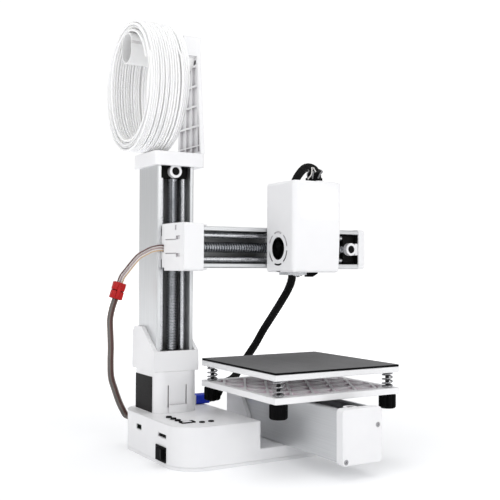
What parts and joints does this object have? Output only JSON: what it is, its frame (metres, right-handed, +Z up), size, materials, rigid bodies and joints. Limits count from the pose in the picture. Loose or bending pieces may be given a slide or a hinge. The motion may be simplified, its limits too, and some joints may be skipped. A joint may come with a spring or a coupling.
{
  "type": "fdm printer",
  "caption": "Cantilever desktop 3-D printer: screw-driven column, arm and bed rail in channel profiles, white head, square sprung bed, filament coil on a peg.",
  "frame": {"origin": "centre of the foot's underside, on the table", "axes": "+Z up along the column, +X along the arm away from the column, -Y toward the front of the bed rail"},
  "size_m": [0.1877, 0.1863, 0.3086],
  "materials": {
    "bed_white": "satin",
    "black_plastic": "satin",
    "blue_plastic": "satin",
    "board": "satin",
    "brass": "polished",
    "cable": "braided",
    "filament": "satin",
    "inner_white": "satin",
    "motor_metal": "satin",
    "profile_alu": "anodised",
    "red_plastic": "satin",
    "ribbon": "satin",
    "rubber": "matte",
    "steel": "polished",
    "white_plastic": "satin"
  },
  "bodies": {
    "base": {"base_shell": "white_plastic", "base_plate": "inner_white", "grip_pads": "rubber", "main_board": "board", "column_socket": "white_plastic", "column_collar": "white_plastic", "z_motor": "motor_metal", "z_profile": "profile_alu", "frame_rods": "steel", "frame_clips": "inner_white", "top_cap": "white_plastic", "spool_upright": "white_plastic", "spool_peg": "white_plastic", "y_collar": "white_plastic", "y_motor": "motor_metal", "y_profile": "profile_alu", "y_front_cap": "white_plastic", "cap_screws": "black_plastic", "port_block": "white_plastic", "data_plug": "blue_plastic", "dc_jack": "black_plastic", "switch_bezel": "black_plastic", "indicator_lights": "black_plastic", "ribbon_lower": "ribbon", "cable_lower": "cable"},
    "coil": {"filament_coil": "filament"},
    "rocker": {"power_rocker": "black_plastic"},
    "button_1": {"button_1": "black_plastic"},
    "button_2": {"button_2": "black_plastic"},
    "button_3": {"button_3": "black_plastic"},
    "mode": {"mode_slider": "white_plastic"},
    "z_screw": {"z_lead_screw": "steel"},
    "x_screw": {"x_lead_screw": "steel"},
    "y_screw": {"y_lead_screw": "steel"},
    "carriage": {"carriage_shell": "white_plastic", "z_slider": "inner_white", "x_motor": "motor_metal", "x_profile": "profile_alu", "x_guide_rods": "steel", "x_end_clip": "inner_white", "x_end_cap": "white_plastic", "cable_clip": "inner_white", "ribbon_upper": "ribbon", "ribbon_connector": "red_plastic", "cable_upper": "cable"},
    "head": {"head_back": "white_plastic", "head_cover": "white_plastic", "extruder": "motor_metal", "hot_end": "profile_alu", "fan_frame": "black_plastic"},
    "gear": {"drive_gear": "brass"},
    "idler": {"idler": "steel"},
    "rotor": {"fan_rotor": "black_plastic"},
    "bed": {"lower_plate": "bed_white", "upper_plate": "bed_white", "level_springs": "steel"},
    "knob_1": {"level_knob_1": "black_plastic"},
    "knob_2": {"level_knob_2": "black_plastic"},
    "knob_3": {"level_knob_3": "black_plastic"},
    "knob_4": {"level_knob_4": "black_plastic"}
  },
  "joints": [
    {"name": "z_slide", "type": "slide", "parent": "base", "child": "carriage", "axis": [0, 0, 1], "range_m": [-0.0583, 0.0417], "deforming": ["cable_lower", "ribbon_lower"]},
    {"name": "x_slide", "type": "slide", "parent": "carriage", "child": "head", "axis": [1, 0, 0], "range_m": [-0.05, 0.05], "deforming": ["cable_upper"]},
    {"name": "y_slide", "type": "slide", "parent": "base", "child": "bed", "axis": [0, 1, 0], "range_m": [-0.05, 0.05]},
    {"name": "z_screw_spin", "type": "hinge", "parent": "base", "child": "z_screw", "pos_m": [-0.0315, 0.017, 0.126], "axis": [0, 0, 1], "continuous": true},
    {"name": "x_screw_spin", "type": "hinge", "parent": "carriage", "child": "x_screw", "pos_m": [0.032, -0.017, 0.1455], "axis": [1, 0, 0], "continuous": true},
    {"name": "y_screw_spin", "type": "hinge", "parent": "base", "child": "y_screw", "pos_m": [0.0375, -0.044, 0.036], "axis": [0, 1, 0], "continuous": true},
    {"name": "fan_spin", "type": "hinge", "parent": "head", "child": "rotor", "pos_m": [0.0276, -0.0398, 0.1448], "axis": [1, 0, 0], "continuous": true},
    {"name": "gear_spin", "type": "hinge", "parent": "head", "child": "gear", "pos_m": [0.04358, -0.044, 0.172], "axis": [0, 1, 0], "continuous": true},
    {"name": "idler_spin", "type": "hinge", "parent": "head", "child": "idler", "pos_m": [0.03243, -0.044, 0.172], "axis": [0, 1, 0], "continuous": true},
    {"name": "coil_swing", "type": "hinge", "parent": "base", "child": "coil", "pos_m": [-0.048, 0.027, 0.2904], "axis": [1, 0, 0], "range_deg": [-20, 20]},
    {"name": "rocker_tilt", "type": "hinge", "parent": "base", "child": "rocker", "pos_m": [-0.0558, -0.023, 0.008], "axis": [0, 0, 1], "range_deg": [0, 16]},
    {"name": "button_1_press", "type": "slide", "parent": "base", "child": "button_1", "axis": [0, 0, 1], "range_m": [-0.0007, 0], "stiffness_N_per_m": 300, "springref_m": 0.0005},
    {"name": "button_2_press", "type": "slide", "parent": "base", "child": "button_2", "axis": [0, 0, 1], "range_m": [-0.0007, 0], "stiffness_N_per_m": 300, "springref_m": 0.0005},
    {"name": "button_3_press", "type": "slide", "parent": "base", "child": "button_3", "axis": [0, 0, 1], "range_m": [-0.0007, 0], "stiffness_N_per_m": 300, "springref_m": 0.0005},
    {"name": "mode_slide", "type": "slide", "parent": "base", "child": "mode", "axis": [1, 0, 0], "range_m": [-0.0016, 0.0016]},
    {"name": "knob_1_turn", "type": "hinge", "parent": "bed", "child": "knob_1", "pos_m": [-0.0065, -0.088, 0.0412], "axis": [0, 0, 1], "continuous": true},
    {"name": "knob_2_turn", "type": "hinge", "parent": "bed", "child": "knob_2", "pos_m": [-0.0065, 0, 0.0412], "axis": [0, 0, 1], "continuous": true},
    {"name": "knob_3_turn", "type": "hinge", "parent": "bed", "child": "knob_3", "pos_m": [0.0815, -0.088, 0.0412], "axis": [0, 0, 1], "continuous": true},
    {"name": "knob_4_turn", "type": "hinge", "parent": "bed", "child": "knob_4", "pos_m": [0.0815, 0, 0.0412], "axis": [0, 0, 1], "continuous": true}
  ],
  "couplings": [
    {"joint": "z_screw_spin", "follows": "z_slide", "rad_per_m": -3141.6},
    {"joint": "x_screw_spin", "follows": "x_slide", "rad_per_m": -3141.6},
    {"joint": "y_screw_spin", "follows": "y_slide", "rad_per_m": -3141.6},
    {"joint": "idler_spin", "follows": "gear_spin", "ratio": -1.2927}
  ]
}
